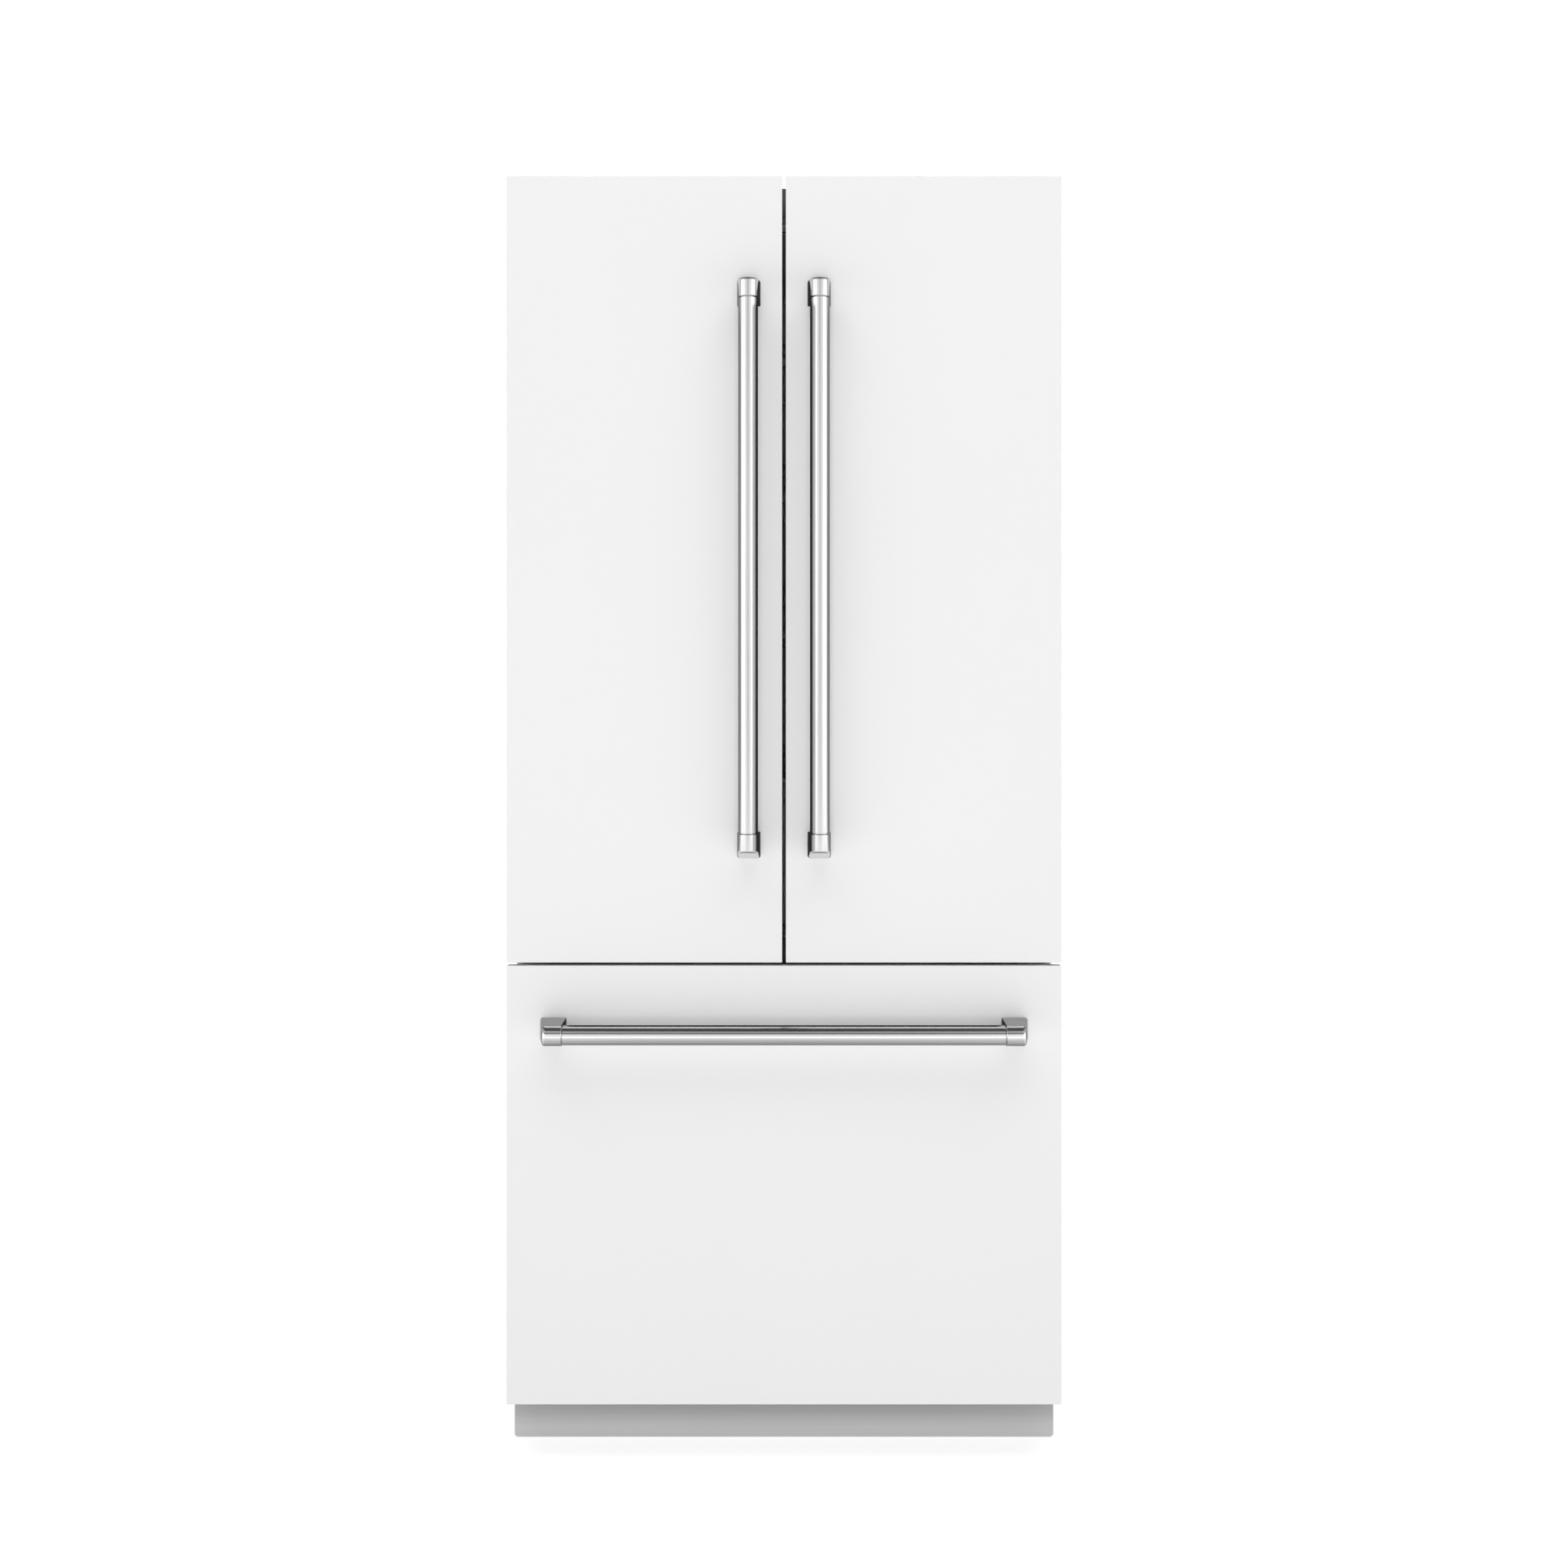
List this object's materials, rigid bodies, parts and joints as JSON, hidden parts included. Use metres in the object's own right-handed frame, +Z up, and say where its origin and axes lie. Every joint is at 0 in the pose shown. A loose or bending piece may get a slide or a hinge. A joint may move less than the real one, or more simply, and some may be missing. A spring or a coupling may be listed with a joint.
{
  "type": "french door refrigerator",
  "caption": "Built-in refrigerator with French doors over a freezer drawer, flat white panels, round brushed steel bar handles and a recessed toe kick.",
  "frame": {"origin": "on the floor, under the middle of the whole outline, handles included", "axes": "+Z up, -Y out of the doors, +X to the right as seen from the front"},
  "size_m": [0.908, 0.6772, 2.11],
  "materials": {
    "door_panel": "smooth matte white paint on a flat panel",
    "handle_steel": "brushed along the bar",
    "toe_metal": "satin silver grey",
    "wrapper_paint": "satin grey",
    "galvanised": "galvanised sheet",
    "liner": "moulded white liner over foam",
    "door_liner": "moulded white liner over foam",
    "gasket": "soft grey seal",
    "black_enamel": "black enamel",
    "zinc": "zinc plate",
    "fins": "thin fins",
    "shelf_glass": "tempered glass with a white rim",
    "clear_plastic": "clear moulded plastic",
    "basket_plastic": "translucent moulded plastic",
    "nylon": "dark nylon",
    "fan_plastic": "moulded plastic"
  },
  "bodies": {
    "cabinet": {"cabinet_wrapper": "wrapper_paint", "cabinet_back": "galvanised", "insulated_body": "liner", "front_frame": "galvanised", "base_frame": "galvanised", "toe_kick": "toe_metal", "front_foot_left": "zinc", "front_foot_right": "zinc", "compressor": "black_enamel", "condenser": "fins", "machine_cover": "galvanised", "evaporator": "fins", "evaporator_cover": "liner", "air_duct": "liner", "shelf_top": "shelf_glass", "shelf_middle": "shelf_glass", "shelf_bottom": "shelf_glass", "crisper_shelf": "shelf_glass", "ice_maker": "liner", "hinge_top_left": "zinc", "hinge_top_right": "zinc", "hinge_centre_left": "zinc", "hinge_centre_right": "zinc", "rail_outer_left": "zinc", "rail_outer_right": "zinc"},
    "left_door": {"left_door_panel": "door_panel", "left_door_body": "door_liner", "left_door_gasket": "gasket", "left_door_handle_bar": "handle_steel", "left_door_handle_post_bottom": "handle_steel", "left_door_handle_post_top": "handle_steel", "bin_left_lower": "clear_plastic", "bin_left_middle": "clear_plastic", "bin_left_upper": "clear_plastic"},
    "mullion": {"mullion": "liner"},
    "right_door": {"right_door_panel": "door_panel", "right_door_body": "door_liner", "right_door_gasket": "gasket", "right_door_handle_bar": "handle_steel", "right_door_handle_post_bottom": "handle_steel", "right_door_handle_post_top": "handle_steel", "bin_right_lower": "clear_plastic", "dairy_bin": "clear_plastic"},
    "dairy_lid": {"dairy_lid": "clear_plastic"},
    "freezer_drawer": {"freezer_panel": "door_panel", "freezer_door_body": "door_liner", "freezer_gasket": "gasket", "drawer_frame": "zinc", "freezer_basket": "basket_plastic", "freezer_handle_bar": "handle_steel", "freezer_handle_post_left": "handle_steel", "freezer_handle_post_right": "handle_steel"},
    "freezer_tray": {"freezer_tray": "basket_plastic"},
    "rail_middle_left": {"rail_middle_left": "zinc"},
    "rail_middle_right": {"rail_middle_right": "zinc"},
    "crisper_left": {"crisper_left": "clear_plastic"},
    "crisper_right": {"crisper_right": "clear_plastic"},
    "condenser_fan": {"condenser_fan": "fan_plastic"},
    "evaporator_fan": {"evaporator_fan": "fan_plastic"},
    "rear_rollers": {"rear_rollers": "nylon"}
  },
  "joints": [
    {"name": "left_door_hinge", "type": "hinge", "parent": "cabinet", "child": "left_door", "pos_m": [-0.432, -0.23135, 1.4565], "axis": [0, 0, -1], "range_deg": [0, 110]},
    {"name": "right_door_hinge", "type": "hinge", "parent": "cabinet", "child": "right_door", "pos_m": [0.432, -0.23135, 1.4565], "axis": [0, 0, 1], "range_deg": [0, 110]},
    {"name": "mullion_flip", "type": "hinge", "parent": "left_door", "child": "mullion", "pos_m": [-0.019, -0.17405, 1.4515], "axis": [0, 0, -1], "range_deg": [0, 90]},
    {"name": "dairy_lid_hinge", "type": "hinge", "parent": "right_door", "child": "dairy_lid", "pos_m": [0.2245, -0.18635, 1.8023], "axis": [1, 0, 0], "range_deg": [0, 80]},
    {"name": "freezer_drawer_slide", "type": "slide", "parent": "cabinet", "child": "freezer_drawer", "axis": [0, -1, 0], "range_m": [0, 0.43]},
    {"name": "freezer_tray_slide", "type": "slide", "parent": "freezer_drawer", "child": "freezer_tray", "axis": [0, 1, 0], "range_m": [0, 0.155]},
    {"name": "rail_middle_left_slide", "type": "slide", "parent": "cabinet", "child": "rail_middle_left", "axis": [0, -1, 0], "range_m": [0, 0.215]},
    {"name": "rail_middle_right_slide", "type": "slide", "parent": "cabinet", "child": "rail_middle_right", "axis": [0, -1, 0], "range_m": [0, 0.215]},
    {"name": "crisper_left_slide", "type": "slide", "parent": "cabinet", "child": "crisper_left", "axis": [0, -1, 0], "range_m": [0, 0.09]},
    {"name": "crisper_right_slide", "type": "slide", "parent": "cabinet", "child": "crisper_right", "axis": [0, -1, 0], "range_m": [0, 0.09]},
    {"name": "condenser_fan_spin", "type": "hinge", "parent": "cabinet", "child": "condenser_fan", "pos_m": [0.016, 0.24065, 0.14], "axis": [1, 0, 0], "continuous": true},
    {"name": "evaporator_fan_spin", "type": "hinge", "parent": "cabinet", "child": "evaporator_fan", "pos_m": [0, 0.22465, 0.68], "axis": [0, 1, 0], "continuous": true},
    {"name": "rear_roller_spin", "type": "hinge", "parent": "cabinet", "child": "rear_rollers", "pos_m": [0, 0.28815, 0.022], "axis": [1, 0, 0], "continuous": true}
  ],
  "couplings": [
    {"joint": "rail_middle_left_slide", "follows": "freezer_drawer_slide", "ratio": 0.5},
    {"joint": "rail_middle_right_slide", "follows": "freezer_drawer_slide", "ratio": 0.5}
  ]
}
